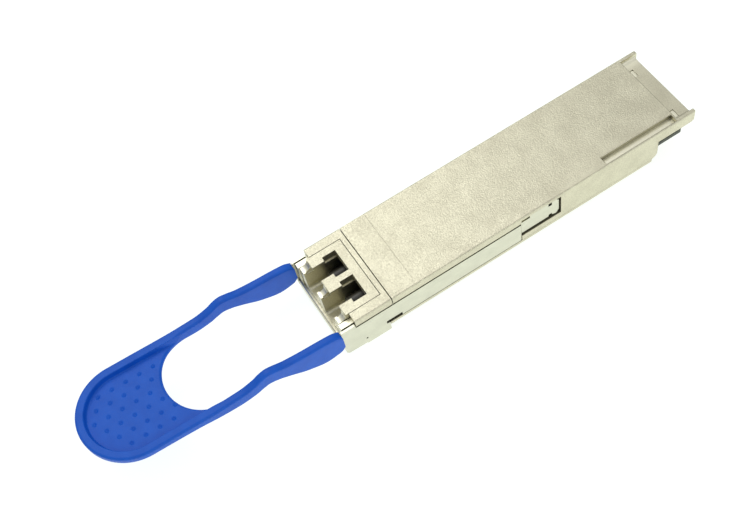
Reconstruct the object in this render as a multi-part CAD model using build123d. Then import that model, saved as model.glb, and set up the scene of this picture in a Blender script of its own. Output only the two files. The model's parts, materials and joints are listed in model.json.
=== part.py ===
"""Pluggable optical transceiver module with a duplex fibre receptacle and a pull-tab release.

Frame: +Y points towards the host connector, -Y towards the pull tab, +Z up, millimetres.
Lengths along Y are written from the front face of the nose. save() moves every piece so that
the origin is at the centre of the housing's bottom face.
"""
import os

from build123d import *

# ---- overall sizes -------------------------------------------------------------------------
housing_width = 18.35
housing_height = 8.5
housing_length = 78.3        # front face of the nose to the tips of the rear ears
nose_length = 10.3           # part of the base shell that reaches full height
seam_gap = 0.06              # hairline between the two shells
nose_seam_gap = 0.16         # open joint across the roof, between nose and cover
fit_gap = 0.05               # clearance between parts that slide or drop in

# ---- shells --------------------------------------------------------------------------------
base_thickness = 0.9
cover_roof = 1.1
front_wall = 1.85            # side wall beside the sliders and latch pockets
rear_wall = 0.9              # side wall behind the latch pockets
cavity_step = 3.2            # from the latch pockets to where the cavity widens
skirt_setback = 8.5          # from the ears' tips to the rear end of the full-height side walls
skirt_corner = 1.5
ear_bottom_z = 5.6
ear_thickness = 0.75
ear_overhang = 0.5           # how far the ears stand past the roof
ear_fillet = 0.9             # hollow rounding between the ears and the lowered strip
roof_end_round = 0.2
land_gap = 0.25              # open joint between the slider and the nose's front lands
strip_length = 3.35          # lowered strip at the rear of the roof
strip_drop = 1.0
strip_thickness = 0.9
land_z = 7.0                 # lowered land in front of the receptacle's shoulders
rail_front_y = 2.6           # where the nose's side rails reach full height
chin_drop = 1.1              # how far the nose reaches below the bottom face
chin_front = 0.45            # and how far its lower lip stands forward
edge_round = 0.25
chin_round = 0.4
end_gap = 0.15               # clearance at the ends of grooves and slots
lip_width = 0.7              # locating lips on the base plate, inside the cover's walls
lip_top_z = 1.9

key_groove_width = 1.7
key_groove_wall = 0.4        # thin wall left outside the groove
key_groove_depth = 1.1
key_groove_length = 16.15
key_groove_floor = 0.8
groove_bevel = 0.15
key_groove_end_gap = 0.4     # from the groove's rear end to the lowered strip
slot_size = (1.8, 1.2)       # pockets in the lowered strip, right behind the roof's end
slot_centres_x = (-5.3, 6.7)
slot_depth = 0.2
roof_recess_depth = 0.06
roof_recess_length = 5.4
roof_recess_margin = 0.7
roof_recess_corner = 1.0

# ---- receptacle for two fibre plugs --------------------------------------------------------
port_pitch = 6.25
port_axis_z = 4.05
port_width = 4.7
port_height = 4.8
port_corner = 0.8            # rounding at the bottom of each port
lug_channel_width = 5.1
shoulder_thickness = 0.8
latch_slot_width = 3.2
receptacle_width = 14.1
receptacle_front_y = 0.25
receptacle_rear_y = 9.2
receptacle_gap = 0.1         # clearance round the insert in the nose
shoulder_front_y = 1.96
window_front_y = 4.56
window_rear_y = 7.33
window_width = 5.0
port_stop_y = 8.3
land_fillet = 1.4
gasket_thickness = 0.4
gasket_margin = 0.35

# ---- release slider and pull tab -----------------------------------------------------------
travel = 1.8                 # pull needed to let the cage's latch go
sheet = 0.5                  # slider's sheet metal
slider_inset = 0.05          # slider lies this far below the side face
slider_top_z = 6.15
slider_top_gap = 0.55        # open channel left above the arm
slider_lift = 0.1            # the arm's lower edge above the base plate's edge
slider_front_top_z = 7.0
joggle_y = 38.4
strap_front_y = 3.9
strap_length = 5.15
strap_sheet = 0.4
lip_z = -1.0                 # lower front corner of the arm
tail_drop = 0.15             # how far the tail is set inwards
tail_bottom_z = 3.15
tail_top_z = 7.55
nib_y = 44.6
nib_length = 2.2
nib_neck = 0.75              # length of the narrow neck in front of the nib
neck_bottom_z = 3.7
neck_top_z = 6.4
notch_start = 0.65           # relief slot: how far it starts in front of the strap's rear edge
notch_length = 3.4
notch_height = 0.9
tab_gap = 0.5                # air between the moulding and the nose
lug_length = 7.5             # steel held inside the moulding
lug_top_z = 6.3
lug_bottom_z = 2.9
finger_y = 31.6

pocket_front_y = 38.45
pocket_rear_y = 47.3
pocket_bottom_z = 2.4
pocket_top_z = 7.65
pocket_depth = 1.22

spring_wire = 0.24
spring_radius = 0.56         # centre line of the wire
spring_seat_y = 22.0
spring_turns = 9
spring_z = 4.0
spring_boss = 0.75           # wall round the spring pocket

arm_thickness = 1.6
arm_stand_out = 0.385        # how far the arms stand outside the housing's sides
pad_centre_y = -38.7         # centre of the pad's rounded end
loop_end_y = -23.7           # centre of the loop's rounded end
rim_width = 1.6
rim_height = 1.2
dimple_pitch = 2.74
dimple_rows = 6
dimple_row_pitch = 2.26
dimple_first_y = -31.45
dimple_radius = 0.4
dimple_depth = 0.3

# ---- optics --------------------------------------------------------------------------------
ferrule_radius = 0.625
ferrule_clearance = 0.01
sleeve_wall = 0.35
barrel_radius = 1.45
barrel_front_y = 4.4
barrel_lip_step = 0.2        # the barrel's lip stands back from the sleeve's bore by this
sleeve_length = 3.6
optics_y = 11.2
optics_size = (4.6, 9.8, 4.9)
bracket_thickness = 0.6
optics_pad_inset = 0.225

# ---- board and components ------------------------------------------------------------------
board_thickness = 1.0
board_bottom_z = 2.45
board_front_y = 23.0
board_setback = 1.7          # from the ears' tips to the card edge
board_inset = 0.1            # clearance to the spring pockets and rear walls
card_edge_width = 16.42
contact_pitch = 0.8
contact_width = 0.54
contact_count = 19
contact_length = 1.9
contact_thickness = 0.05
contact_row_offsets = (4.4, 2.2)   # front ends of the two rows, ahead of the card edge
coupling_offset = 7.3        # row of coupling capacitors ahead of the card edge
processor_size = (9.0, 10.0, 1.2)
processor_y = 36.0
pad_gap = 0.8                # thickness of the thermal pads
flex_thickness = 0.12
flex_width = 3.6

# ---- screws --------------------------------------------------------------------------------
screw_radius = 0.78
screw_head_radius = 1.35
screw_head_height = 0.55
screw_rows_y = (17.0, 54.0)
rear_screw_x = 6.7
screw_tip_z = 6.4
boss_radius = 1.3

# ---- worked-out values ---------------------------------------------------------------------
half = housing_width / 2
origin_y = housing_length / 2
roof_under = housing_height - cover_roof
roof_end_y = housing_length - ear_overhang
strip_y = roof_end_y - strip_length
strip_z = housing_height - strip_drop
board_top_z = board_bottom_z + board_thickness
port_bottom = port_axis_z - port_height / 2
port_top = port_axis_z + port_height / 2
shoulder_under = housing_height - shoulder_thickness
slider_out = half - slider_inset
slider_in = slider_out - sheet
groove_x = slider_in - fit_gap
slider_bottom_z = base_thickness + slider_lift
groove_top_z = slider_top_z + slider_top_gap
tail_wide_y = pocket_front_y + travel + end_gap   # where the tail reaches full height
strap_end_y = strap_front_y + strap_length
strap_top_z = -chin_drop - fit_gap
strap_bottom_z = strap_top_z - strap_sheet
tail_out = slider_out - tail_drop
tail_in = tail_out - sheet
pocket_x = half - pocket_depth
spring_x = slider_in - fit_gap - spring_radius - spring_wire / 2
spring_hole = spring_radius + spring_wire / 2 + fit_gap
sleeve_bore = ferrule_radius + ferrule_clearance
port_centres = (-port_pitch / 2, port_pitch / 2)
seat_y = receptacle_rear_y + receptacle_gap
arm_half_width = half + arm_stand_out
arm_inner = arm_half_width - arm_thickness
wide_cavity_y = pocket_rear_y + cavity_step
skirt_end_y = housing_length - skirt_setback
board_rear_y = housing_length - board_setback
finger_half_height = 0.75 * spring_radius
spring_wall_x = spring_x - spring_hole - spring_boss
front_screw_x = port_pitch / 2 + optics_size[0] / 2 + boss_radius + 0.125
screw_places = ((front_screw_x, screw_rows_y[0]), (rear_screw_x, screw_rows_y[1]))


def block(x0, x1, y0, y1, z0, z1):
    """A box given by its two corners."""
    return Pos((x0 + x1) / 2, (y0 + y1) / 2, (z0 + z1) / 2) * Box(x1 - x0, y1 - y0, z1 - z0)


def plan_prism(points, z0, z1):
    """An outline in plan, given as (x, y) points, raised from z0 to z1."""
    outline = Polyline(*[(x, y, z0) for x, y in points], close=True)
    return extrude(make_face(outline), amount=z1 - z0, dir=(0, 0, 1))


def side_prism(points, x0, x1):
    """A side-view outline, given as (y, z) points, carried from x0 to x1."""
    outline = Polyline(*[(x0, y, z) for y, z in points], close=True)
    return extrude(make_face(outline), amount=x1 - x0, dir=(1, 0, 0))


def rod(radius, x, z, y0, y1):
    """A round bar along Y."""
    return Pos(x, (y0 + y1) / 2, z) * Rot(90, 0, 0) * Cylinder(radius, y1 - y0)


def post(radius, x, y, z0, z1):
    """A round bar along Z."""
    return Pos(x, y, (z0 + z1) / 2) * Cylinder(radius, z1 - z0)


def long_edges(shape, low=False):
    """The edges of a block that run along Y at its top, or at its bottom."""
    groups = shape.edges().filter_by(Axis.Y).group_by(Axis.Z)
    return groups[0] if low else groups[-1]


def both_sides(shape):
    """A shape together with its mirror image across the centre plane."""
    return shape + mirror(shape, about=Plane.YZ)


def save(name, shape):
    """Write one node, moved so that the origin is the centre of the bottom face."""
    solids = [Pos(0, -origin_y, 0) * solid for solid in shape.solids()]
    export_step(solids[0] if len(solids) == 1 else Compound(solids), f"parts/{name}.step")


# ---- cuts shared by both shells ------------------------------------------------------------
def slider_groove():
    """The shallow channel in the side that the slider's arm lies in, with room to travel."""
    low = slider_bottom_z - fit_gap
    groove = block(groove_x, half + 1, -1, pocket_front_y, low, groove_top_z)
    groove += block(groove_x, half + 1, -1, strap_end_y + end_gap, -housing_height, groove_top_z)
    groove += block(groove_x, half + 1, -1, rail_front_y, 0, housing_height + 1)
    groove += block(groove_x - land_gap, half + 1, -1, rail_front_y, slider_top_z,
                    housing_height + 1)
    relief_y = strap_end_y - notch_start
    return groove + block(pocket_x, half + 1, relief_y, relief_y + notch_length,
                          low, slider_bottom_z + notch_height)


def latch_pocket():
    """The pocket that the cage's latch springs into, and the tail's run in front of it."""
    pocket = block(pocket_x, half + 1, pocket_front_y, pocket_rear_y, pocket_bottom_z, groove_top_z)
    pocket += block(pocket_x, half + 1, tail_wide_y, pocket_rear_y, pocket_bottom_z, pocket_top_z)
    run_x = tail_in - fit_gap
    pocket += block(run_x, half + 1, pocket_front_y, pocket_rear_y, pocket_bottom_z, pocket_top_z)
    pocket += block(run_x, half + 1, joggle_y - travel - 2 * end_gap, pocket_front_y,
                    slider_bottom_z, groove_top_z)
    return pocket


def spring_pocket():
    """The round-bottomed pocket for the return spring, open to the slider's groove."""
    y1 = finger_y + 2 * sheet
    hole = rod(spring_hole, spring_x, spring_z, spring_seat_y, y1)
    hole += block(spring_x, half, spring_seat_y, y1, spring_z - spring_hole, spring_z + spring_hole)
    return hole


# ---- shells --------------------------------------------------------------------------------
def make_base_shell():
    """Bottom plate and full-height nose with its chin, one die casting."""
    plate_end = skirt_end_y - skirt_corner + 0.3
    plate = block(-half, half, 0, plate_end, 0, base_thickness)
    plate = fillet(long_edges(plate, low=True), edge_round)
    nose = block(-half, half, 0, nose_length, edge_round, housing_height)
    nose = fillet(long_edges(nose), edge_round)
    chin = block(-groove_x, groove_x, -chin_front, strap_end_y + end_gap, -chin_drop, base_thickness)
    chin = fillet(chin.edges().filter_by(Axis.X).group_by(Axis.Y)[0], chin_round)
    rail_x = half - front_wall - fit_gap
    lip = block(rail_x - lip_width, rail_x, nose_length, wide_cavity_y - 1, base_thickness, lip_top_z)
    rear_rail_x = half - rear_wall - fit_gap
    lip += block(rear_rail_x - lip_width, rear_rail_x, wide_cavity_y + 1, skirt_end_y - 3,
                 base_thickness, lip_top_z)
    shell = nose + plate + chin + both_sides(lip)
    pocket_half = receptacle_width / 2 + receptacle_gap
    shell -= block(-pocket_half, pocket_half, -1, seat_y, base_thickness, housing_height + 1)
    shell -= block(-half - 1, half + 1, -1, rail_front_y, land_z, housing_height + 1)
    shell -= both_sides(slider_groove())
    for x in port_centres:
        shell -= rod(barrel_radius + fit_gap, x, port_axis_z, seat_y - 1, nose_length + 1)
    for x, y in screw_places:
        front = y < wide_cavity_y
        top = lip_top_z if front else board_bottom_z - fit_gap
        pillar = post(boss_radius - 0.1, x, y, base_thickness, top)
        shell += both_sides(pillar & block(0, rail_x if front else rear_rail_x, 0, 90, 0, 9))
        shell -= both_sides(post(screw_radius + 0.1, x, y, -1, top + 1))
        shell -= both_sides(post(screw_head_radius + 0.1, x, y, -1, screw_head_height + fit_gap))
    return shell - both_sides(gasket_strip(half - rear_wall / 2))


def gasket_strip(x):
    """The bead of conductive elastomer in the base plate's edge, under the cover's wall."""
    y0 = nose_length + 2
    y1 = skirt_end_y - skirt_corner - 2
    return block(x - 0.2, x + 0.2, y0, y1, base_thickness - 0.35, base_thickness)


def make_top_cover():
    """Roof, deep side walls and rear ears, one die casting."""
    y0 = nose_length + nose_seam_gap
    z0 = base_thickness + seam_gap
    body = block(-half, half, y0, roof_end_y, z0, housing_height)
    body = fillet(long_edges(body), edge_round)
    body -= block(-half - 1, half + 1, skirt_end_y, roof_end_y + 1, -1, ear_bottom_z)
    corner = block(-half - 1, half + 1, skirt_end_y - skirt_corner, skirt_end_y + 1,
                   z0 - 1, z0 + skirt_corner)
    corner -= Pos(0, skirt_end_y - skirt_corner, z0 + skirt_corner) * Rot(0, 90, 0) * Cylinder(
        skirt_corner, 3 * half)
    body -= corner
    narrow = half - front_wall
    wide = half - rear_wall
    body -= block(-narrow, narrow, y0 - 1, wide_cavity_y + 1, z0 - 1, roof_under)
    body -= block(-wide, wide, wide_cavity_y, roof_end_y + 2, z0 - 1, roof_under)
    ear = block(half - ear_thickness, half, strip_y, housing_length, ear_bottom_z, housing_height)
    ear = fillet(ear.edges().filter_by(Axis.X).group_by(Axis.Y)[-1], edge_round)
    ear = fillet(ear.edges().filter_by(Axis.Y).group_by(Axis.Z)[-1].group_by(Axis.X)[-1], edge_round)
    body -= block(-half + ear_thickness, half - ear_thickness, strip_y, roof_end_y + 2,
                  strip_z, housing_height + 1)
    strip = block(-wide - 0.1, wide + 0.1, strip_y - 1, roof_end_y,
                  strip_z - strip_thickness, roof_under + 0.05)
    body += strip & block(-half, half, 0, roof_end_y, 0, strip_z)
    body += both_sides(ear + ear_root())
    body -= roof_end()
    body = add_key_groove(body)
    for x in slot_centres_x:
        body -= block(x - slot_size[0] / 2, x + slot_size[0] / 2, strip_y, strip_y + slot_size[1],
                      strip_z - slot_depth, housing_height)
    body += both_sides(block(spring_wall_x, half - front_wall, spring_seat_y - spring_boss,
                             finger_y + 2 * sheet + spring_boss, lip_top_z + fit_gap, roof_under))
    body += block(-processor_size[0] / 2, processor_size[0] / 2,
                  processor_y - processor_size[1] / 2, processor_y + processor_size[1] / 2,
                  board_top_z + processor_size[2] + pad_gap, roof_under)
    for x, y in screw_places:
        bottom = lip_top_z + fit_gap if y < wide_cavity_y else board_top_z + fit_gap
        body += both_sides(post(boss_radius, x, y, bottom, roof_under) &
                           block(0, half - rear_wall / 2, 0, 90, 0, 9))
        body -= both_sides(post(screw_radius + 0.02, x, y, 0, screw_tip_z + 0.3))
    body -= both_sides(slider_groove())
    body -= both_sides(latch_pocket())
    body -= both_sides(spring_pocket())
    x1 = half - roof_recess_margin
    recess = block(-half - 1, x1, nose_length - 1, nose_length + roof_recess_length,
                   housing_height - roof_recess_depth, housing_height + 1)
    body -= fillet(recess.edges().filter_by(Axis.Z).sort_by(Axis.X)[-2:].sort_by(Axis.Y)[-1:],
                   roof_recess_corner)
    return body


def bar(radius, y, z, x0, x1):
    """A round bar along X."""
    return Pos((x0 + x1) / 2, y, z) * Rot(0, 90, 0) * Cylinder(radius, x1 - x0)


def ear_root():
    """Hollow rounding along the inner foot of the +X ear."""
    x1 = half - ear_thickness
    x0 = x1 - ear_fillet
    corner = block(x0, x1 + 0.1, strip_y, roof_end_y, strip_z - 0.1, strip_z + ear_fillet)
    return corner - rod(ear_fillet, x0, strip_z + ear_fillet, strip_y - 1, roof_end_y + 1)


def roof_end():
    """What is taken off the roof's rear edge to round it."""
    x1 = half - ear_thickness
    y = strip_y - roof_end_round
    z = housing_height - roof_end_round
    corner = block(-x1, x1, y, strip_y + 0.1, z, housing_height + 0.1)
    return corner - bar(roof_end_round, y, z, -half, half)


def add_key_groove(body):
    """The blind keying groove in the roof, with a bevelled rim and a floor of its own."""
    x1 = half - key_groove_wall
    x0 = x1 - key_groove_width
    y1 = strip_y - key_groove_end_gap
    y0 = y1 - key_groove_length
    z = housing_height - key_groove_depth
    body += block(x0 - 0.6, half - rear_wall / 2, y0 - 0.6, strip_y, z - key_groove_floor,
                  roof_under + 0.05)
    body -= block(x0, x1, y0, y1, z, housing_height + 1)
    mouth = Rectangle(x1 - x0, y1 - y0)
    return body - Pos((x0 + x1) / 2, (y0 + y1) / 2, housing_height - groove_bevel) * extrude(
        mouth, amount=2 * groove_bevel, taper=-45)


# ---- receptacle ----------------------------------------------------------------------------
def make_receptacle():
    """Die-cast insert with two plug ports, latch shoulders and lug windows."""
    x1 = receptacle_width / 2
    z0 = base_thickness + fit_gap
    body = block(-x1, x1, receptacle_front_y, receptacle_rear_y, z0, housing_height)
    sweep_y = shoulder_front_y - land_fillet
    body -= block(-x1 - 1, x1 + 1, -1, sweep_y, land_z, housing_height + 1)
    body -= Pos(0, sweep_y, land_z + land_fillet) * Rot(0, 90, 0) * Cylinder(land_fillet, 4 * x1)
    body -= block(-x1 - 1, x1 + 1, -1, shoulder_front_y, land_z + land_fillet, housing_height + 1)
    for x in port_centres:
        body -= port_cut(x)
    gasket_half = x1 - gasket_margin
    body -= block(-gasket_half, gasket_half, receptacle_rear_y - gasket_thickness,
                  receptacle_rear_y + 1, z0 - 1, shoulder_under - 0.3)
    return body


def port_cut(x):
    """One port: plug cavity, channel for the latch lugs, latch slot, window and barrel bore."""
    half_port = port_width / 2
    cavity = block(x - half_port, x + half_port, -1, port_stop_y, port_bottom, port_top)
    cavity = fillet(long_edges(cavity, low=True), port_corner)
    mouth = block(x - half_port, x + half_port, -1, shoulder_front_y, port_axis_z, 12)
    channel_half = lug_channel_width / 2
    channel = block(x - channel_half, x + channel_half, shoulder_front_y - 1.2, window_rear_y,
                    port_top, shoulder_under)
    slot_half = latch_slot_width / 2
    slot = block(x - slot_half, x + slot_half, -1, window_front_y + 0.1, port_top, 12)
    window_half = window_width / 2
    window = block(x - window_half, x + window_half, window_front_y, window_rear_y, port_top, 12)
    bore = rod(barrel_radius + fit_gap, x, port_axis_z, port_stop_y - 1, receptacle_rear_y + 1)
    return cavity + mouth + channel + slot + window + bore


def make_gasket():
    """Conductive elastomer sheet between the receptacle and the nose's rear wall."""
    x1 = receptacle_width / 2 - gasket_margin - 0.05
    sheet_block = block(-x1, x1, receptacle_rear_y - gasket_thickness, seat_y,
                        base_thickness + 0.1, shoulder_under - 0.4)
    for x in port_centres:
        sheet_block -= rod(barrel_radius + fit_gap, x, port_axis_z, 0, 20)
    return sheet_block


# ---- release slider and pull tab -----------------------------------------------------------
def slider_plan():
    """The arm seen from above: flat arm, joggle inwards, tail and flared nib."""
    y_nib = nib_y + nib_length
    lug_end = -lug_length - tab_gap
    return [(slider_in, lug_end), (slider_out, lug_end), (slider_out, joggle_y - tail_drop),
            (tail_out, joggle_y + tail_drop), (tail_out, nib_y + nib_neck),
            (slider_out, y_nib - sheet), (slider_out, y_nib), (slider_in, y_nib),
            (tail_in, nib_y + nib_neck), (tail_in, joggle_y + tail_drop),
            (slider_in, joggle_y - tail_drop)]


def slider_side():
    """The arm seen from the side."""
    lug_end = -lug_length - tab_gap
    shoulder_y = rail_front_y - 3 * fit_gap
    neck_y = nib_y + nib_neck
    tip_y = nib_y + nib_length
    relief_y = strap_end_y - notch_start
    relief_end = relief_y + notch_length
    relief_z = slider_bottom_z + notch_height
    return [(lug_end, 4.4), (lug_end, lug_top_z), (-tab_gap, lug_top_z),
            (-tab_gap, slider_front_top_z), (shoulder_y, slider_front_top_z),
            (shoulder_y, slider_top_z), (joggle_y, slider_top_z),
            (joggle_y, groove_top_z - fit_gap), (tail_wide_y + fit_gap, groove_top_z - fit_gap),
            (tail_wide_y + fit_gap, tail_top_z), (nib_y, tail_top_z), (nib_y, neck_top_z),
            (neck_y, neck_top_z), (neck_y, tail_top_z), (tip_y - 0.5, tail_top_z),
            (tip_y, tail_top_z - 0.5), (tip_y, tail_bottom_z + 0.9), (tip_y - 0.6, tail_bottom_z),
            (neck_y, tail_bottom_z), (neck_y, neck_bottom_z), (nib_y, neck_bottom_z),
            (nib_y, tail_bottom_z), (joggle_y, tail_bottom_z), (joggle_y, slider_bottom_z),
            (relief_end, slider_bottom_z), (relief_end, relief_z), (relief_y, relief_z),
            (relief_y, slider_bottom_z), (strap_end_y, slider_bottom_z),
            (strap_end_y, strap_bottom_z), (strap_front_y, strap_bottom_z),
            (strap_front_y, strap_top_z - fit_gap), (0, lip_z), (-tab_gap, lip_z + 0.6),
            (-tab_gap, lug_bottom_z), (-4.0, lug_bottom_z)]


def slider_arm():
    """One side of the slider with the finger that bears on the return spring."""
    arm = plan_prism(slider_plan(), -housing_height, housing_height)
    arm &= side_prism(slider_side(), 0, half)
    arm -= Pos(slider_in, strap_front_y + 0.1, 0.4) * Rot(0, 90, 0) * Cylinder(0.22, 4)
    arm -= Pos(slider_in, -lug_length / 2, 5.0) * Rot(0, 90, 0) * Cylinder(0.8, 4)
    arm += block(spring_x - spring_radius, slider_in + 0.1, finger_y, finger_y + sheet,
                 spring_z - finger_half_height, spring_z + finger_half_height)
    return arm


def make_slider():
    """Stamped steel slider: two arms joined by a strap under the chin."""
    strap = block(-slider_out, slider_out, strap_front_y, strap_end_y, strap_bottom_z, strap_top_z)
    return both_sides(slider_arm()) + strap


def tab_plan():
    """The tab's outline from above: straight sides and a round end."""
    w = arm_half_width
    sides = Polyline((-w, pad_centre_y), (-w, -tab_gap), (w, -tab_gap), (w, pad_centre_y))
    end = ThreePointArc((w, pad_centre_y), (0, pad_centre_y - w), (-w, pad_centre_y))
    return make_face(sides + end)


def tab_body(drop=0):
    """The tab's side view carried across its width: deep at the module, a hump where the arm
    steps up, then a thinner pad that sweeps gently upwards. drop lowers the upper surface."""
    upper = [(-tab_gap, 6.6), (-2.0, 7.4), (-8.5, 8.02), (-12.0, 8.52), (-15.2, 9.42), (-18.0, 8.3),
             (-21.0, 7.6), (-25.0, 7.5), (-34.0, 7.95), (-49.0, 8.85)]
    lower = [(-49.0, 6.95), (-37.0, 6.3), (-30.0, 5.7), (-25.0, 4.95), (-21.5, 4.72), (-18.5, 5.1),
             (-15.8, 5.95), (-12.0, 4.55), (-8.0, 2.3), (-4.2, 1.15), (-1.5, 1.55), (-tab_gap, 2.6)]
    raised = [(0, y, z - drop) for y, z in upper]
    under = [(0, y, z) for y, z in lower]
    outline = Spline(*raised) + Line(raised[-1], under[0]) + Spline(*under) + Line(under[-1], raised[0])
    reach = arm_half_width + 1
    return Pos(-reach, 0, 0) * extrude(make_face(outline), amount=2 * reach, dir=(1, 0, 0))


def dimple_places():
    """Triangular grid of grip dimples, in rows along the pad; one row starts later than the rest."""
    places = []
    for row in range(dimple_rows):
        x = (row - (dimple_rows - 1) / 2) * dimple_row_pitch
        shift = 1 if row == 2 else 0.5 * (row % 2)
        count = 4 if row == dimple_rows - 1 else 5
        for step in range(count):
            places.append((x, dimple_first_y - (shift + step) * dimple_pitch))
    return places


def make_pull_tab():
    """Moulded tab: two arms, finger loop, and a pad with a raised rim and grip dimples."""
    tall = 2 * housing_height
    solid = extrude(tab_plan(), amount=tall, dir=(0, 0, 1)) & tab_body()
    solid -= block(-arm_inner, arm_inner, loop_end_y, 5, -1, tall)
    solid -= post(arm_inner, 0, loop_end_y, -1, tall)
    floor = extrude(offset(tab_plan(), -rim_width), amount=tall, dir=(0, 0, 1))
    floor &= block(-half, half, pad_centre_y - arm_half_width, loop_end_y, -1, tall)
    solid -= floor - tab_body(rim_height)
    dimples = Compound([post(dimple_radius, x, y, 0, tall) for x, y in dimple_places()])
    solid -= dimples - tab_body(rim_height + dimple_depth)
    return solid - both_sides(slider_arm())


def make_spring():
    """Return spring along Y, drawn on the +X side, between its seat and the slider's finger."""
    length = finger_y - spring_seat_y - spring_wire - 2 * fit_gap
    path = Helix(length / spring_turns, length, spring_radius)
    section = Plane(path @ 0, z_dir=path % 0) * Circle(spring_wire / 2)
    coil = sweep(section, path=path)
    return Pos(spring_x, spring_seat_y + spring_wire / 2 + fit_gap, spring_z) * Rot(-90, 0, 0) * coil


# ---- optics --------------------------------------------------------------------------------
def make_barrel(x):
    """Steel barrel that carries the alignment sleeve and stub in front of the optical package."""
    sleeve_out = sleeve_bore + sleeve_wall
    barrel = rod(barrel_radius, x, port_axis_z, barrel_front_y, optics_y)
    barrel -= rod(sleeve_bore + barrel_lip_step, x, port_axis_z, barrel_front_y - 1, optics_y + 1)
    return barrel - rod(sleeve_out, x, port_axis_z, barrel_front_y + 0.4, optics_y + 1)


def make_sleeve(x):
    """Ceramic alignment sleeve for a 1.25 mm ferrule."""
    y0 = barrel_front_y + 0.4
    sleeve = rod(sleeve_bore + sleeve_wall, x, port_axis_z, y0, y0 + sleeve_length)
    return sleeve - rod(sleeve_bore, x, port_axis_z, y0 - 1, y0 + sleeve_length + 1)


def make_stub(x):
    """Ceramic fibre stub behind the sleeve."""
    y1 = optics_y
    return rod(sleeve_bore + sleeve_wall, x, port_axis_z, barrel_front_y + 0.4 + sleeve_length, y1)


def make_optics(x):
    """Laser or detector package behind the barrel, with a stepped lid."""
    wide, deep, tall = optics_size
    z0 = port_axis_z - tall / 2
    box = block(x - wide / 2, x + wide / 2, optics_y, optics_y + deep, z0, z0 + tall - 0.5)
    return box + block(x - wide / 2 + 0.3, x + wide / 2 - 0.3, optics_y + 0.3,
                       optics_y + deep - 0.3, z0 + tall - 0.5, z0 + tall)


def make_bracket():
    """Stamped plate that clamps both barrels behind the nose."""
    x1 = half - front_wall - 0.15
    plate = block(-x1, x1, nose_length + 0.15, nose_length + 0.15 + bracket_thickness,
                  base_thickness + 1.05, roof_under - 0.1)
    for x in port_centres:
        plate -= rod(barrel_radius + fit_gap, x, port_axis_z, 0, 20)
    return plate


def make_flex(x):
    """Flexible circuit from an optical package, down to pads on the board."""
    y0 = optics_y + optics_size[1]
    z_top = board_top_z + 0.9
    z_low = board_top_z
    t = flex_thickness
    outline = [(y0, z_top), (y0 + 0.9, z_top), (y0 + 2.0, z_low), (y0 + 5.0, z_low),
               (y0 + 5.0, z_low + t), (y0 + 2.1, z_low + t), (y0 + 1.0, z_top + t),
               (y0, z_top + t)]
    return side_prism(outline, x - flex_width / 2, x + flex_width / 2)


# ---- board ---------------------------------------------------------------------------------
def make_board():
    """Main board: narrow beside the latch pockets, full width at the card edge."""
    n = spring_wall_x - board_inset
    w = card_edge_width / 2
    y1 = wide_cavity_y + 0.8
    bevel = 0.5
    right = [(n, board_front_y), (n, y1), (w, y1), (w, board_rear_y - bevel),
             (w - bevel, board_rear_y)]
    left = [(-x, y) for x, y in reversed(right)]
    board = plan_prism(right + left, board_bottom_z, board_top_z)
    for x, y in screw_places[1:]:
        board -= both_sides(post(screw_radius + 0.15, x, y, 0, 9))
    return board


def make_contacts(y, top):
    """One row of gold contact pads on one face of the card edge."""
    z = board_top_z if top else board_bottom_z - contact_thickness
    first = -(contact_count - 1) / 2 * contact_pitch
    pads = [block(first + i * contact_pitch - contact_width / 2,
                  first + i * contact_pitch + contact_width / 2,
                  y, y + contact_length, z, z + contact_thickness) for i in range(contact_count)]
    return Compound(pads)


def chip(size, x, y, top=True):
    """A component body standing on the board's top or hanging from its underside."""
    wide, deep, tall = size
    z = board_top_z if top else board_bottom_z - tall
    return block(x - wide / 2, x + wide / 2, y - deep / 2, y + deep / 2, z, z + tall)


def chip_rows(size, rows, top=True):
    """Groups of identical small components: each row is (first x, y, count, pitch)."""
    return Compound([chip(size, x + i * pitch, y, top)
                     for x, y, count, pitch in rows for i in range(count)])


def make_screws():
    """Four pan-head screws with hexagon sockets, from below through the base into the cover."""
    parts = []
    for x, y in screw_places:
        for side in (-1, 1):
            screw = post(screw_head_radius, side * x, y, 0.02, screw_head_height)
            screw += post(screw_radius, side * x, y, screw_head_height - 0.01, screw_tip_z)
            screw -= Pos(side * x, y, 0) * extrude(RegularPolygon(0.7, 6), amount=0.3)
            parts.append(screw)
    return Compound(parts)


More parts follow.
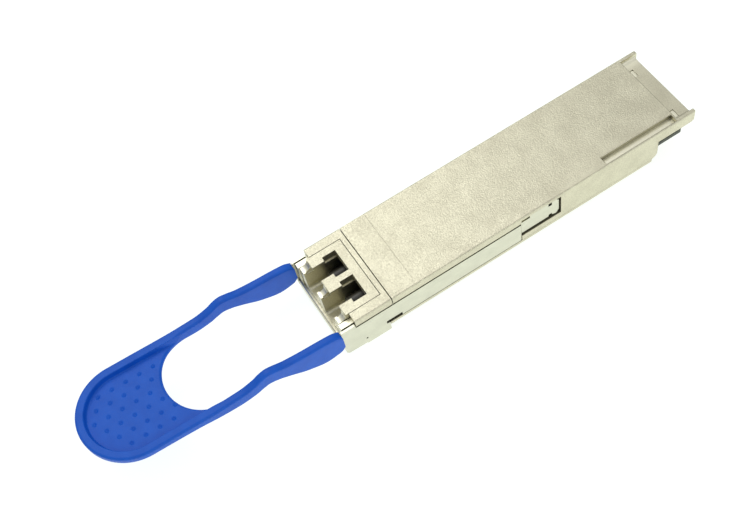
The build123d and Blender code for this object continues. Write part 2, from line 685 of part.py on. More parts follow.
def main():
    os.makedirs("parts", exist_ok=True)
    left, right = port_centres
    save("base_shell", make_base_shell())
    save("top_cover", make_top_cover())
    save("lc_receptacle", make_receptacle())
    save("receptacle_gasket", make_gasket())
    for name, side in (("left", -1), ("right", 1)):
        spring = make_spring()
        save(f"return_spring_{name}", spring if side > 0 else mirror(spring, about=Plane.YZ))
        save(f"seam_gasket_{name}", gasket_strip(side * (half - rear_wall / 2)))
    save("release_slider", make_slider())
    save("pull_tab", make_pull_tab())
    for name, x in (("transmit", left), ("receive", right)):
        save(f"{name}_barrel", make_barrel(x))
        save(f"{name}_sleeve", make_sleeve(x))
        save(f"{name}_stub", make_stub(x))
        save(f"{name}_optics", make_optics(x))
        save(f"{name}_flex", make_flex(x))
    save("optics_bracket", make_bracket())
    top = port_axis_z + optics_size[2] / 2
    pad_half = port_pitch / 2 + optics_size[0] / 2 - optics_pad_inset
    save("optics_thermal_pad", block(-pad_half, pad_half, optics_y + 1,
                                     optics_y + optics_size[1] - 1, top, roof_under))
    save("main_board", make_board())
    for name, offset_y in zip(("inner", "outer"), contact_row_offsets):
        y = board_rear_y - offset_y
        save(f"contacts_top_{name}", make_contacts(y, True))
        save(f"contacts_bottom_{name}", make_contacts(y, False))
    save("signal_processor", chip(processor_size, 0, processor_y))
    wide, deep, tall = processor_size
    save("processor_thermal_pad", block(-wide / 2, wide / 2, processor_y - deep / 2,
                                        processor_y + deep / 2, board_top_z + tall,
                                        board_top_z + tall + pad_gap))
    save("laser_driver", chip((2.6, 2.2, 0.7), left, 28.2))
    save("receiver_amplifier", chip((2.6, 2.2, 0.7), right, 28.2))
    save("microcontroller", chip((5.0, 5.0, 0.85), -2.5, 46.0))
    save("oscillator", chip((2.5, 2.0, 0.8), 3.4, 44.2))
    save("power_converters", chip_rows((3.0, 3.0, 1.0), [(-3.6, 58.5, 2, 7.2)]))
    save("power_inductors", chip_rows((2.0, 2.5, 1.6), [(-1.5, 62.5, 2, 3.0)]))
    row_y = board_rear_y - coupling_offset
    save("coupling_capacitors", chip_rows((0.5, 1.0, 0.5), [(-7.0, row_y, 8, 0.9),
                                                            (0.7, row_y, 8, 0.9)]))
    save("decoupling_capacitors", chip_rows((0.8, 1.6, 0.8), [(-4.8, 33.0, 7, 1.6),
                                                              (-4.8, 39.0, 7, 1.6)], top=False))
    save("resistors", chip_rows((0.5, 1.0, 0.35), [(-5.0, 49.8, 5, 1.0), (1.6, 47.8, 4, 1.0)]))
    save("housing_screws", make_screws())


main()
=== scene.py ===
# %% [markdown]
# # An optical transceiver module
# A metal stick the size of a pack of gum that turns electric signals into light and back. The
# housing is a zinc die casting with a satin nickel plating, two steel arms run along its sides,
# and a blue moulded tab pulls it out of its cage. The CAD frame already has every piece in its
# place, so this lesson is about light, metal and plastic, and about one soft moulded shape.

# %% Load the frame
import json
import math

import bpy
import numpy as np
from mathutils import Matrix, Vector


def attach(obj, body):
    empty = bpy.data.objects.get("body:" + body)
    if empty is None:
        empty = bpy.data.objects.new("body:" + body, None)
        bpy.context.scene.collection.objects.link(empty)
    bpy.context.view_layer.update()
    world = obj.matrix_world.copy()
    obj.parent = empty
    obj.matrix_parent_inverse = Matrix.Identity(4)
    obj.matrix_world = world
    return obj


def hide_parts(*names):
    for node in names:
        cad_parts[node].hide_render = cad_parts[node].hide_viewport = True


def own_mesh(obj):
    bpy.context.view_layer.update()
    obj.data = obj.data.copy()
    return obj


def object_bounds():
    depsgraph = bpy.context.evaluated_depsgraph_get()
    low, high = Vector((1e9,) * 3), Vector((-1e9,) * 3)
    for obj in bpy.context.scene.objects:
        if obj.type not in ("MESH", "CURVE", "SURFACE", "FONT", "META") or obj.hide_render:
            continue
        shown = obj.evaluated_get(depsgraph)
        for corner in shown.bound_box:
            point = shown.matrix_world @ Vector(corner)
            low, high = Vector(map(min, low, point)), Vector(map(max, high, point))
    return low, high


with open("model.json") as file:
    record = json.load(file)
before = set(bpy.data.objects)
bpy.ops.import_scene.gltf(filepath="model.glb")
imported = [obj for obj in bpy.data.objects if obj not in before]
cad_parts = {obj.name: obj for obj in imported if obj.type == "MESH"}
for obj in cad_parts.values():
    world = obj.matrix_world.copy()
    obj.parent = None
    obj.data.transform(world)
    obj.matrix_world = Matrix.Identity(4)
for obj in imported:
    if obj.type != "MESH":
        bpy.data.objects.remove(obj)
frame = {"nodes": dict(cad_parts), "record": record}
cad_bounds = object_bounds()
nodes = frame["nodes"]
MM = 0.001
print("pieces in the frame:", len(nodes))

# %% [markdown]
# ## The camera
# Small products are shown from above at a slant, with a long lens, so that the sides stay nearly
# parallel. The camera is placed by two angles round a point on the module, and then rolled a
# little so that the module runs across the frame from corner to corner.

# %% Place the camera
AZIMUTH = math.radians(70.864)
ELEVATION = math.radians(59.26)
ROLL = math.radians(-14.856)
DISTANCE = 217.57 * MM
AIM = Vector((-1.44, -26.34, 4.25)) * MM
LENS, SENSOR_WIDTH = 56.378, 36.0


def camera_axes(azimuth, elevation, roll):
    """Right, up and backward directions of a camera that looks at its aim from those angles."""
    back = Vector((math.sin(azimuth) * math.cos(elevation),
                   -math.cos(azimuth) * math.cos(elevation), math.sin(elevation)))
    right = Vector((0, 0, 1)).cross(back).normalized()
    up = back.cross(right)
    c, s = math.cos(roll), math.sin(roll)
    return right * c + up * s, up * c - right * s, back


right, up, back = camera_axes(AZIMUTH, ELEVATION, ROLL)
camera_data = bpy.data.cameras.new("camera")
camera_data.lens = LENS
camera_data.sensor_width = SENSOR_WIDTH
camera_data.clip_start = 0.01
camera = bpy.data.objects.new("camera", camera_data)
bpy.context.scene.collection.objects.link(camera)
turn = Matrix((right, up, back)).transposed().to_4x4()
camera.matrix_world = Matrix.Translation(AIM + back * DISTANCE) @ turn
bpy.context.scene.camera = camera
print("camera at", [round(v, 4) for v in camera.location])

# %% [markdown]
# ## Small tools for materials
# A node material is a chain of small steps. These helpers add one step each: a noise of a given
# grain size, a change of range, a mix of two colours and a bump. Everything reads Object
# coordinates, which stay with the piece when it moves.

# %% Helpers for node materials
CREVICE_RANGE = (0.12, 0.5)  # share of open sky that counts as closed, and as open


class Recipe:
    """A material being built: its nodes, links, shader and object coordinates."""

    def __init__(self, name, **sockets):
        self.material = bpy.data.materials.new(name)
        self.material.use_nodes = True
        self.tree = self.material.node_tree
        self.shader = self.tree.nodes["Principled BSDF"]
        coordinates = self.tree.nodes.new("ShaderNodeTexCoord").outputs
        self.place, self.facing = coordinates["Object"], coordinates["Normal"]
        for socket, value in sockets.items():
            self.shader.inputs[socket.replace("_", " ")].default_value = value

    def add(self, kind, inputs=(), **settings):
        """A node with its settings made, and its inputs linked or given by name or number."""
        node = self.tree.nodes.new(kind)
        for key, value in settings.items():
            setattr(node, key, value)
        for key, value in dict(inputs).items():
            if isinstance(value, bpy.types.NodeSocket):
                self.tree.links.new(value, node.inputs[key])
            else:
                node.inputs[key].default_value = value
        return node

    def noise(self, grain, detail=3.0, vector=None):
        """Noise with blotches about grain metres across, from 0 to 1."""
        return self.add("ShaderNodeTexNoise", {"Vector": vector or self.place, "Scale": 1 / grain,
                                               "Detail": detail}).outputs["Fac"]

    def ranged(self, value, low, high, to_low, to_high, smooth=False):
        """value taken from low..high to to_low..to_high, and held at the ends."""
        kind = "SMOOTHSTEP" if smooth else "LINEAR"
        return self.add("ShaderNodeMapRange", {"Value": value, 1: low, 2: high, 3: to_low,
                                               4: to_high}, interpolation_type=kind).outputs[0]

    def maths(self, operation, a, b=0.0):
        """a and b combined by one arithmetic operation."""
        return self.add("ShaderNodeMath", {0: a, 1: b}, operation=operation).outputs[0]

    def colours(self, factor, low, high):
        """A colour between low and high, each given as (r, g, b) or as a socket."""
        low, high = [c if isinstance(c, bpy.types.NodeSocket) else (*c, 1) for c in (low, high)]
        return self.add("ShaderNodeMix", {0: factor, 6: low, 7: high}, data_type="RGBA").outputs[2]

    def bump(self, height, depth, normal=None):
        """Relief of that depth in metres, on top of an earlier relief if there is one."""
        inputs = {"Height": height, "Distance": depth, "Strength": 1.0}
        if normal:
            inputs["Normal"] = normal
        return self.add("ShaderNodeBump", inputs).outputs["Normal"]

    def crevices(self, reach):
        """0 deep in gaps and pockets, 1 on open faces, judged by what stands within reach."""
        hidden = self.add("ShaderNodeAmbientOcclusion", {"Distance": reach}, samples=12)
        return self.ranged(hidden.outputs["AO"], *CREVICE_RANGE, 0.0, 1.0, smooth=True)

    def wire(self, socket, value):
        """Feed one input of the shader."""
        self.tree.links.new(value, self.shader.inputs[socket])


print("recipe tools ready")

# %% [markdown]
# ## Satin nickel on a die casting
# Zinc castings are tumbled and then plated, which leaves a fine speckle on the broad faces:
# thousands of shallow pits, each catching the light differently. Cut and pressed faces are
# smoother. So the relief is deep on the roof and shallow below it, the colour varies from warm
# champagne to grey in tiny spots, and broad faint blotches keep large faces from looking flat.
# Ports, gaps and pockets get painted shade: an occlusion node finds them and darkens their colour.
# Upward faces of the floors, such as the groove's floor, get a painted highlight: a lighter
# colour.
# A bevel node turns the shading at sharp edges, which plating rounds.

# %% Nickel for the housing
ROOF_LEVEL = 8.2 * MM
FLOOR_LEVELS = (6.9 * MM, 6.95 * MM)      # slot floors and front lands, which get the painted highlight, start here and the lowered strip, just above, is left without it
STRIP_LEVELS = (7.44 * MM, 7.48 * MM)     # and the lowered strip, just above, is left plated
EAR_LEVELS = (8.2 * MM, 8.4 * MM)
FOOT_ACROSS = (-7.6 * MM, -6.0 * MM)      # the painted highlight on the ear's foot ends between these and starts between these
FOOT_ALONG = (35.4 * MM, 35.6 * MM)       # and starts between these
# colour of the painted highlight on upward floors and the ear's foot
PAINTED_FLOOR_HIGHLIGHT = (0.92, 0.89, 0.70)
PLATED_EDGE = 0.1 * MM
SPECKLE_GRAIN, PIT_GRAIN, BLOTCH_GRAIN = 0.26 * MM, 0.09 * MM, 4.5 * MM
CREVICE_REACH = 2.6 * MM
# near-black of the painted shade in gaps, ports and pockets
PAINTED_CREVICE_SHADE = (0.085, 0.078, 0.06)


def speckled_nickel(name, light, dark, roughness, relief):
    """Plated casting: tiny spots between two tones, faint blotches, and pits on the roof."""
    r = Recipe(name, Metallic=1.0)
    spots = r.noise(SPECKLE_GRAIN, detail=2.0)
    fine = r.noise(PIT_GRAIN, detail=2.0)
    blotches = r.noise(BLOTCH_GRAIN, detail=4.0)
    across, along, height = r.add("ShaderNodeSeparateXYZ", {0: r.place}).outputs
    on_roof = r.ranged(height, ROOF_LEVEL, ROOF_LEVEL + 0.1 * MM, 0.25, 1.0)
    mixed = r.maths("ADD", r.maths("MULTIPLY", spots, 0.55), r.maths("MULTIPLY", blotches, 0.45))
    tone = r.ranged(mixed, 0.4, 0.6, 0.0, 1.0)
    plated = r.colours(tone, dark, light)
    # Painted shade: the colour falls to a near-black in gaps, ports and pockets.
    crevice_shaded = r.colours(r.crevices(CREVICE_REACH), PAINTED_CREVICE_SHADE, plated)
    upward = r.ranged(r.add("ShaderNodeSeparateXYZ", {0: r.facing}).outputs["Z"], 0.1, 0.6, 0, 1)
    floors = r.maths("MULTIPLY", r.ranged(height, *FLOOR_LEVELS, 0.0, 1.0),
                     r.ranged(height, *STRIP_LEVELS, 1.0, 0.0))
    foot = r.maths("MULTIPLY", r.ranged(across, *FOOT_ACROSS, 1.0, 0.0),
                   r.ranged(along, *FOOT_ALONG, 0.0, 1.0))
    foot = r.maths("MULTIPLY", foot, r.ranged(height, *EAR_LEVELS, 1.0, 0.0))
    # Painted highlight: upward faces of the floors and of the ear's foot get a lighter colour.
    floor_highlight = r.maths("MULTIPLY", r.maths("MAXIMUM", floors, foot), upward)
    r.wire("Base Color", r.colours(floor_highlight, crevice_shaded, PAINTED_FLOOR_HIGHLIGHT))
    gloss = r.ranged(spots, 0.3, 0.7, roughness + 0.07, roughness - 0.05)
    r.wire("Roughness", gloss)
    edge = r.add("ShaderNodeBevel", {"Radius": PLATED_EDGE}, samples=6).outputs[0]
    pits = r.maths("MULTIPLY", r.maths("ADD", spots, r.maths("MULTIPLY", fine, 0.5)), on_roof)
    r.wire("Normal", r.bump(pits, relief, normal=edge))
    return r.material


NICKEL = speckled_nickel("satin_nickel", (0.72, 0.69, 0.522), (0.605, 0.575, 0.43), 0.36,
                         0.05 * MM)
print("housing finish:", NICKEL.name)

# %% [markdown]
# ## Rolled sheet steel
# The slider is stamped from rolled strip and its springs are wound from drawn wire. Rolling leaves
# fine lines along the strip, so the noise is stretched along Y until it becomes hairlines.

# %% Steel for the slider, springs, bracket, barrels and screws
ROLLING_GRAIN, MARK_GRAIN = 0.12 * MM, 3.0 * MM
SHEARED_EDGE = 0.05 * MM
MARK_TONE = 0.86             # how much of the tone is left in a mark


def rolled_steel(name, tone, roughness, stretch=(1.0, 0.06, 1.0)):
    """Sheet metal with rolling lines: a noise stretched along the strip, in colour and gloss."""
    r = Recipe(name, Metallic=1.0)
    along = r.add("ShaderNodeMapping", {"Vector": r.place, "Scale": stretch}).outputs[0]
    lines = r.noise(ROLLING_GRAIN, vector=along)
    marks = r.noise(MARK_GRAIN, detail=4.0)
    shade = r.maths("ADD", r.maths("MULTIPLY", lines, 0.5), r.maths("MULTIPLY", marks, 0.5))
    darker = tuple(MARK_TONE * c for c in tone)
    r.wire("Base Color", r.colours(r.ranged(shade, 0.35, 0.65, 0, 1), darker, tone))
    r.wire("Roughness", r.ranged(lines, 0.3, 0.7, roughness - 0.05, roughness + 0.06))
    edge = r.add("ShaderNodeBevel", {"Radius": SHEARED_EDGE}, samples=4).outputs[0]
    r.wire("Normal", r.bump(lines, 0.003 * MM, normal=edge))
    return r.material


STEEL = rolled_steel("rolled_steel", (0.75, 0.745, 0.60), 0.33)
# Near-black steel for barrels and screws; on the barrels, deep in the ports, it is painted shade.
DARK_SHADED_STEEL = rolled_steel("dark_shaded_steel", (0.09, 0.088, 0.082), 0.4, (1.0, 1.0, 1.0))
LID = rolled_steel("welded_lid", (0.66, 0.65, 0.60), 0.25)
print("steel finishes:", STEEL.name, DARK_SHADED_STEEL.name, LID.name)

# %% [markdown]
# ## Moulded blue plastic
# The tab is injection moulded with a fine spark-eroded texture, so its gloss is broken up and its
# edges carry a soft, wide highlight. Two noises do that: a fine one for the mould's texture and a
# broad one that shifts the blue very slightly, as pigment never mixes perfectly.

# %% Plastic for the tab
MOULD_GRAIN, PIGMENT_GRAIN = 0.12 * MM, 2.5 * MM


def moulded_plastic(name, tone, other, roughness, relief=0.004 * MM, gloss=0.3):
    """Pigmented plastic: broad shifts between two tones, fine texture in gloss and relief."""
    r = Recipe(name, Specular_IOR_Level=gloss)
    texture = r.noise(MOULD_GRAIN, detail=2.0)
    pigment = r.noise(PIGMENT_GRAIN, detail=4.0)
    r.wire("Base Color", r.colours(r.ranged(pigment, 0.35, 0.65, 0, 1), tone, other))
    r.wire("Roughness", r.ranged(texture, 0.3, 0.7, roughness - 0.05, roughness + 0.07))
    r.wire("Normal", r.bump(texture, relief))
    return r.material


BLUE = moulded_plastic("blue_moulding", (0.003, 0.1, 0.585), (0.005, 0.115, 0.64), 0.42)
print("tab finish:", BLUE.name)

# %% [markdown]
# ## Everything inside
# The parts behind the roof get the finishes of their trade: green solder mask that shows the
# weave of the laminate, hard gold on the card edge, black moulded chips, ground white zirconia,
# amber polyimide film, and grey filled silicone for the heat pads and gaskets.

# %% Finishes for the inner parts
GOLD = rolled_steel("hard_gold", (0.86, 0.60, 0.22), 0.24, (1.0, 0.4, 1.0))
CHIP = moulded_plastic("chip_moulding", (0.018, 0.018, 0.019), (0.03, 0.03, 0.031), 0.5)
GLAZE = moulded_plastic("glazed_resistor", (0.012, 0.012, 0.015), (0.03, 0.03, 0.035), 0.3)
FIRED = moulded_plastic("fired_capacitor", (0.34, 0.24, 0.14), (0.44, 0.33, 0.2), 0.45)
ZIRCONIA = moulded_plastic("ground_zirconia", (0.82, 0.80, 0.74), (0.88, 0.87, 0.82), 0.3,
                           gloss=0.5)
FILM = moulded_plastic("polyimide_film", (0.42, 0.17, 0.02), (0.55, 0.24, 0.03), 0.25, gloss=0.5)
HEAT_PAD = moulded_plastic("filled_silicone", (0.33, 0.32, 0.38), (0.42, 0.41, 0.46), 0.75,
                           relief=0.015 * MM)
RUBBER = moulded_plastic("conductive_rubber", (0.03, 0.03, 0.03), (0.06, 0.06, 0.06), 0.7,
                         relief=0.01 * MM)


def laminate(name, mask, weave_tone, pitch=0.6 * MM):
    """Solder mask over woven glass: two sets of bands at right angles show faintly through."""
    r = Recipe(name, Specular_IOR_Level=0.4)
    bands = [r.add("ShaderNodeTexWave", {"Vector": r.place, "Scale": 0.05 / pitch * 2,
                                         "Distortion": 0.4}, bands_direction=axis).outputs["Fac"]
             for axis in ("X", "Y")]
    weave = r.maths("MULTIPLY", bands[0], bands[1])
    r.wire("Base Color", r.colours(weave, mask, weave_tone))
    r.wire("Roughness", r.ranged(r.noise(0.4 * MM), 0.3, 0.7, 0.3, 0.42))
    r.wire("Normal", r.bump(weave, 0.006 * MM))
    return r.material


BOARD = laminate("solder_mask", (0.028, 0.036, 0.016), (0.045, 0.055, 0.024))
print("inner finishes:", len(bpy.data.materials))

# %% Put each finish on its slot
FINISH = {"housing": NICKEL, "spring_steel": STEEL, "tab_plastic": BLUE, "barrel_steel": DARK_SHADED_STEEL,
          "ceramic": ZIRCONIA, "optics_gold": GOLD, "flex_film": FILM, "board": BOARD,
          "contact_gold": GOLD, "chip_black": CHIP, "capacitor": FIRED, "resistor_black": GLAZE,
          "can_metal": LID, "thermal_pad": HEAT_PAD, "elastomer": RUBBER}
for part in frame["record"]["subparts"]:
    materials = nodes[part["node"]].data.materials
    materials.clear()
    materials.append(FINISH[part["material_slot"]])

# %% [markdown]
# ## The pull tab
# The tab is one moulding: two arms that are deep where they hold the steel, a hump where a
# finger catches, and a pad with a raised rim and a field of grip dimples. Cutting it from blocks
# would leave hard edges, so it is worked out as one closed skin instead. Seen from above it lies
# between two curves that both run down one side, round the end and up the other. A station is a
# straight line from the outer curve to the inner one, and round each station goes a closed ring
# of points: over the top, down the inside, back underneath, and up the outside.

# %% The tab's two outlines
SHIFT = -39.15               # the module's front face, from the middle of its housing
TAB_START, PAD_CENTRE, LOOP_END = -0.5, -38.7, -23.7
OUTER_RADIUS, INNER_RADIUS = 9.56, 7.96
FRONT_STATIONS, ARM_STATIONS, LOOP_STATIONS = 8, 84, 299
FRONT_LENGTH = 0.5           # the arm's front end, where the stations stand closest


def along_sides(distance, straight, radius, centre):
    """Points on a U: down the left side for its straight length, round a half circle of that
    radius about (0, centre), and up the right side. distance is measured along the curve."""
    turn = math.pi * radius
    angle = np.clip((distance - straight) / radius, 0, math.pi)
    x = -radius * np.cos(angle)
    run = np.minimum(distance, straight) - np.maximum(distance - straight - turn, 0)
    y = centre + straight - run - radius * np.sin(angle)
    return np.stack([x, y], axis=-1)


def stations():
    """Pairs of points on the outer and inner curves. The arms are matched by how far down they
    are; from the loop's start on, each curve is divided into equal shares of its own length."""
    arm = TAB_START - LOOP_END
    side = TAB_START - PAD_CENTRE
    down = np.concatenate([np.linspace(0, FRONT_LENGTH, FRONT_STATIONS, endpoint=False),
                           np.linspace(FRONT_LENGTH, arm, ARM_STATIONS)])
    share = np.linspace(0, 1, LOOP_STATIONS + 2)[1:-1]
    outer_turn = 2 * (side - arm) + math.pi * OUTER_RADIUS
    inner_turn = math.pi * INNER_RADIUS
    outer = np.concatenate([down, arm + share * outer_turn, 2 * arm + outer_turn - down[::-1]])
    inner = np.concatenate([down, arm + share * inner_turn, 2 * arm + inner_turn - down[::-1]])
    return (along_sides(outer, side, OUTER_RADIUS, PAD_CENTRE),
            along_sides(inner, arm, INNER_RADIUS, LOOP_END))


outer_curve, inner_curve = stations()
print("stations:", len(outer_curve), "width at the end:",
      round(float(np.linalg.norm(outer_curve - inner_curve, axis=1).max()), 2), "mm")

# %% [markdown]
# The side view is two heights along Y, one for the upper surface and one for the lower. Few
# points are enough if the curve between them is smooth and never swings past a point.

# %% The tab's side view
UPPER = [(-0.5, 6.6), (-2.0, 7.4), (-4.5, 7.72), (-8.5, 8.02), (-12.0, 8.52), (-13.8, 9.1),
         (-15.2, 9.4), (-16.6, 9.05), (-18.0, 8.3), (-21.0, 7.6), (-25.0, 7.5), (-34.0, 7.95),
         (-49.0, 8.8)]
LOWER = [(-0.5, 2.6), (-1.5, 1.6), (-4.2, 1.17), (-8.0, 2.3), (-12.0, 4.55), (-13.9, 5.5),
         (-15.6, 5.93), (-17.0, 5.62), (-18.5, 5.1), (-21.5, 4.74), (-25.0, 4.95), (-30.0, 5.7),
         (-37.0, 6.3), (-49.0, 6.95)]


def height(points, y):
    """Cubic pieces through (y, z) points. The slope at a point is the harmonic mean of the slopes
    of the lines on both sides, or level where one rises and the other falls."""
    py, pz = np.array(sorted(points)).T
    step = np.diff(py)
    slope = np.diff(pz) / step
    before, after = slope[:-1], slope[1:]
    same = before * after > 0
    total = np.where(same, before + after, 1.0)
    mean = np.where(same, 2 * before * after / total, 0.0)
    tangent = np.concatenate([slope[:1], mean, slope[-1:]])
    i = np.clip(np.searchsorted(py, y) - 1, 0, len(step) - 1)
    t = (y - py[i]) / step[i]
    return ((1 + 2 * t) * (1 - t) ** 2 * pz[i] + t * (1 - t) ** 2 * step[i] * tangent[i]
            + t * t * (3 - 2 * t) * pz[i + 1] + t * t * (t - 1) * step[i] * tangent[i + 1])


HUMP_Y = -15.2
print("hump height:", round(float(height(UPPER, np.array([HUMP_Y]))[0]), 2), "mm")

# %% [markdown]
# Edges of a moulding are rounded, so near every edge the surface drops along a quarter circle.
# The pad's floor is the upper surface lowered behind a smooth step, and each dimple is a shallow
# round bowl taken out of the floor. All of it is one height over the plan.

# %% The tab's relief
RIM_WIDTH, RIM_HEIGHT, RIM_SLOPE = 1.55, 1.15, 0.35
TOP_ROUND, LOWER_ROUND = 0.5, 0.4
DIMPLE_RADIUS, DIMPLE_DEPTH = 0.46, 0.26
DIMPLE_PITCH, DIMPLE_ROW_PITCH, FIRST_DIMPLE = 2.74, 2.26, -31.45
DIMPLE_ROWS, ROW_DIMPLES = 6, 5
LATE_ROW, SHORT_ROW = 2, 5   # one row starts a pitch later and the last has one dimple fewer


def smoothstep(t):
    """0 below 0, 1 above 1, and 3t^2 - 2t^3 between."""
    t = np.clip(t, 0, 1)
    return t * t * (3 - 2 * t)


def quarter_round(distance, radius):
    """How far a rounded edge has dropped at a distance from it: r - sqrt(r^2 - (r - d)^2)."""
    reach = radius - np.clip(distance, 0, radius)
    return radius - np.sqrt(radius * radius - reach * reach)


def edge_distances(x, y):
    """Distances in plan to the outer curve, to the inner curve and to the arms' front ends."""
    outer = OUTER_RADIUS - np.where(y > PAD_CENTRE, np.abs(x), np.hypot(x, y - PAD_CENTRE))
    inner = np.where(y > LOOP_END, np.abs(x), np.hypot(x, y - LOOP_END)) - INNER_RADIUS
    return outer, inner, TAB_START - y


def dimple_relief(x, y):
    """Bowls (1 - (r/R)^2)^2 deep on a triangular grid, one row starting a pitch later."""
    relief = np.zeros_like(x)
    for row in range(DIMPLE_ROWS):
        row_x = (row - (DIMPLE_ROWS - 1) / 2) * DIMPLE_ROW_PITCH
        late = 1.0 if row == LATE_ROW else 0.5 * (row % 2)
        for step in range(ROW_DIMPLES - (row == SHORT_ROW)):
            reach = np.hypot(x - row_x, y - FIRST_DIMPLE + (late + step) * DIMPLE_PITCH)
            relief += np.clip(1 - (reach / DIMPLE_RADIUS) ** 2, 0, 1) ** 2
    return relief * DIMPLE_DEPTH


def upper_surface(x, y):
    """Side-view height, less the floor's step, the dimples and the rounded edges."""
    outer, inner, front = edge_distances(x, y)
    behind_loop = smoothstep((LOOP_END + 0.3 - y) / 2.0)
    floor = smoothstep((outer - RIM_WIDTH) / RIM_SLOPE) * behind_loop
    drop = np.maximum(quarter_round(outer, TOP_ROUND), quarter_round(inner, TOP_ROUND))
    drop = np.maximum(drop, quarter_round(front, TOP_ROUND))
    return height(UPPER, y) - RIM_HEIGHT * floor - dimple_relief(x, y) * floor - drop


def lower_surface(x, y):
    """Side-view height, raised at the rounded edges."""
    distances = edge_distances(x, y)
    return height(LOWER, y) + np.max([quarter_round(d, LOWER_ROUND) for d in distances], axis=0)


pad_x, pad_y = np.array([1.0]), np.array([-40.9])
pad_thickness = (upper_surface(pad_x, pad_y) - lower_surface(pad_x, pad_y))[0]
print("pad thickness:", round(float(pad_thickness), 2), "mm")

# %% [markdown]
# Now the rings. Points crowd together where the surface turns: near both edges and at the rim's
# inner wall. The outer share of each ring covers the rim, and the rest crosses the floor.

# %% Build the skin
RIM_POINTS, FLOOR_POINTS, SIDE_POINTS, UNDER_POINTS = 38, 108, 6, 26


def ring_shares(outer, inner):
    """For each station, how far each upper point is from the outer curve to the inner one."""
    width = np.linalg.norm(inner - outer, axis=1)
    slant = np.abs(edge_distances(*inner.T)[0]) / width
    rim = np.clip((RIM_WIDTH + RIM_SLOPE + 0.1) / (width * np.maximum(slant, 0.3)), 0.12, 0.55)
    first = np.linspace(0, 1, RIM_POINTS, endpoint=False) ** 1.15
    second = 1 - (1 - np.linspace(0, 1, FLOOR_POINTS)) ** 1.3
    rim = rim[:, None]
    return np.concatenate([rim * first, rim + (1 - rim) * second], axis=1)


def tab_rings():
    """Closed rings of points, one per station: top, inside wall, underside, outside wall."""
    share = ring_shares(outer_curve, inner_curve)
    under = (1 + np.cos(np.linspace(0, math.pi, UNDER_POINTS))) / 2 * np.ones((len(share), 1))

    def across(t):
        plan = outer_curve[:, None] + t[..., None] * (inner_curve - outer_curve)[:, None]
        return plan[..., 0], plan[..., 1]

    top_x, top_y = across(share)
    low_x, low_y = across(under)
    top = np.stack([top_x, top_y, upper_surface(top_x, top_y)], axis=-1)
    low = np.stack([low_x, low_y, lower_surface(low_x, low_y)], axis=-1)
    t = np.linspace(0, 1, SIDE_POINTS + 2)[1:-1, None]
    inside = top[:, -1:] + t * (low[:, :1] - top[:, -1:])
    outside = low[:, -1:] + t * (top[:, :1] - low[:, -1:])
    return np.concatenate([top, inside, low, outside], axis=1)


def skin(name, rings):
    """Mesh from closed rings: quads between neighbours, and a fan to the middle at each end. The
    faces are turned over if the volume they enclose comes out negative."""
    count, size, _ = rings.shape
    index = np.arange(count * size).reshape(count, size)
    turned = np.roll(index, -1, axis=1)
    quads = np.stack([index[:-1], turned[:-1], turned[1:], index[1:]], axis=-1).reshape(-1, 4)
    middles = rings[[0, -1]].mean(axis=1)
    start = np.stack([turned[0], index[0], np.full(size, count * size)], axis=-1)
    end = np.stack([index[-1], turned[-1], np.full(size, count * size + 1)], axis=-1)
    points = np.concatenate([rings.reshape(-1, 3), middles])
    corners = points[quads] - points.mean(axis=0)
    volumes = np.einsum("ij,ij->i", np.cross(corners[:, 0], corners[:, 1]), corners[:, 2])
    if volumes.sum() < 0:
        quads, start, end = quads[:, ::-1], start[:, ::-1], end[:, ::-1]
    points[:, 1] += SHIFT
    mesh = bpy.data.meshes.new(name)
    mesh.from_pydata((points * MM).tolist(), [], quads.tolist() + start.tolist() + end.tolist())
    mesh.polygons.foreach_set("use_smooth", np.ones(len(mesh.polygons), dtype=bool))
    mesh.update()
    piece = bpy.data.objects.new(name, mesh)
    bpy.context.scene.collection.objects.link(piece)
    return piece


tab = skin("moulded_pull_tab", tab_rings())
tab.data.materials.append(BLUE)
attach(tab, "release")
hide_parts("pull_tab")
print("tab faces:", len(tab.data.polygons))

# %% [markdown]
# ## The return springs
# Each arm of the slider pushes back a small coil spring. A coil is a wire's circle carried along
# a helix. It is the one inner piece that changes shape when the tab is pulled, so it is built
# here. Both coils are wound the same way and start at the same angle, unlike the frame's pair,
# which mirror each other.

# %% Wind the springs
COIL_RADIUS, WIRE_RADIUS, COIL_TURNS = 0.56, 0.12, 9
COIL_X, COIL_Z, SEAT_Y, COIL_LENGTH = 7.895, 4.0, 22.0, 9.26
COIL_GAP = 0.05              # air between a coil's end and its seat
TURN_STEPS, WIRE_POINTS = 28, 10


def coil_rings(x):
    """Wire circles along (R cos a, L a / 2 pi n, R sin a), each square to the helix."""
    angle = np.linspace(0, 2 * math.pi * COIL_TURNS, COIL_TURNS * TURN_STEPS + 1)
    rise = COIL_LENGTH / (2 * math.pi * COIL_TURNS)
    zero = np.zeros_like(angle)
    outward = np.stack([np.cos(angle), zero, np.sin(angle)], axis=-1)
    start = np.array([x, SEAT_Y + WIRE_RADIUS + COIL_GAP, COIL_Z])
    path = start + COIL_RADIUS * outward
    path[:, 1] += rise * angle
    tangent = np.stack([-COIL_RADIUS * np.sin(angle), zero + rise, COIL_RADIUS * np.cos(angle)],
                       axis=-1) / math.hypot(COIL_RADIUS, rise)
    sideways = np.cross(tangent, outward)
    turn = np.linspace(0, 2 * math.pi, WIRE_POINTS, endpoint=False)[:, None]
    circle = np.cos(turn) * outward[:, None] + np.sin(turn) * sideways[:, None]
    return path[:, None] + WIRE_RADIUS * circle


for side, x in (("left", -COIL_X), ("right", COIL_X)):
    coil = skin(f"coil_spring_{side}", coil_rings(x))
    coil.data.materials.append(STEEL)
    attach(coil, "housing")
    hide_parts(f"return_spring_{side}")
    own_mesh(coil)
    print(coil.name, "faces:", len(coil.data.polygons))

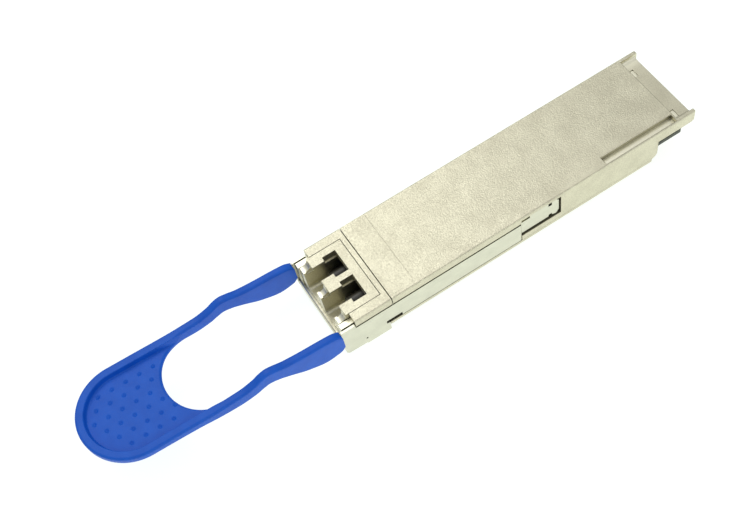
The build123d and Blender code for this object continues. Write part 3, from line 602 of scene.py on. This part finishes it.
# %% [markdown]
# ## The table and the studio
# Small parts are often lit on a light table: the surface itself glows, so there is almost no
# shadow and the background is clean. One large softbox above and behind the module is
# what the roof mirrors. It stands so that the roof's front sees all of it and the rear sees only
# its edge, which gives the metal its slow fall from bright to grey. A low box on the near side
# draws the thin bright line along the rounded near edge.

# %% Light table
TABLE_SIZE = 12.0
SKY_HEIGHTS, SKY_STRENGTHS = (0.05, 0.6), (0.22, 0.66)
lowest = min(corner[2] for corner in cad_bounds)
bpy.ops.mesh.primitive_plane_add(size=TABLE_SIZE, location=(0, 0, lowest))
table = bpy.context.object
table.name = "light_table"
glow = Recipe("light_table", Base_Color=(0.3, 0.3, 0.3, 1), Roughness=0.9,
              Emission_Color=(0.955, 1, 0.955, 1), Emission_Strength=0.9)
table.data.materials.append(glow.material)

world = bpy.data.worlds.new("studio")
bpy.context.scene.world = world
world.use_nodes = True
sky = world.node_tree
rise = sky.nodes.new("ShaderNodeSeparateXYZ")
sky.links.new(sky.nodes.new("ShaderNodeTexCoord").outputs["Generated"], rise.inputs[0])
walls = sky.nodes.new("ShaderNodeMapRange")
for number, value in enumerate(SKY_HEIGHTS + SKY_STRENGTHS, start=1):
    walls.inputs[number].default_value = value
sky.links.new(rise.outputs["Z"], walls.inputs["Value"])
sky.links.new(walls.outputs[0], sky.nodes["Background"].inputs["Strength"])
sky.nodes["Background"].inputs["Color"].default_value = (0.97, 0.98, 1.0, 1)
print("table at", round(lowest / MM, 2), "mm")

# %% Softboxes


def softbox(name, place, aim, size, power):
    """A rectangular lamp of that size in metres, turned towards a point."""
    data = bpy.data.lights.new(name, "AREA")
    data.shape = "RECTANGLE"
    data.size, data.size_y = size
    data.energy = power
    lamp = bpy.data.objects.new(name, data)
    bpy.context.scene.collection.objects.link(lamp)
    lamp.location = place
    lamp.rotation_euler = (Vector(aim) - Vector(place)).to_track_quat("-Z", "Y").to_euler()


LAMP_AIM = (0, -0.02, 0)
softbox("overhead_box", (-0.27, -0.02, 0.46), LAMP_AIM, (0.34, 0.30), 0.56)
softbox("side_box", (0.62, 0.05, 0.36), LAMP_AIM, (0.5, 0.2), 0.5)
bpy.context.scene.view_settings.view_transform = "Standard"
print("lamps:", len(bpy.data.lights))
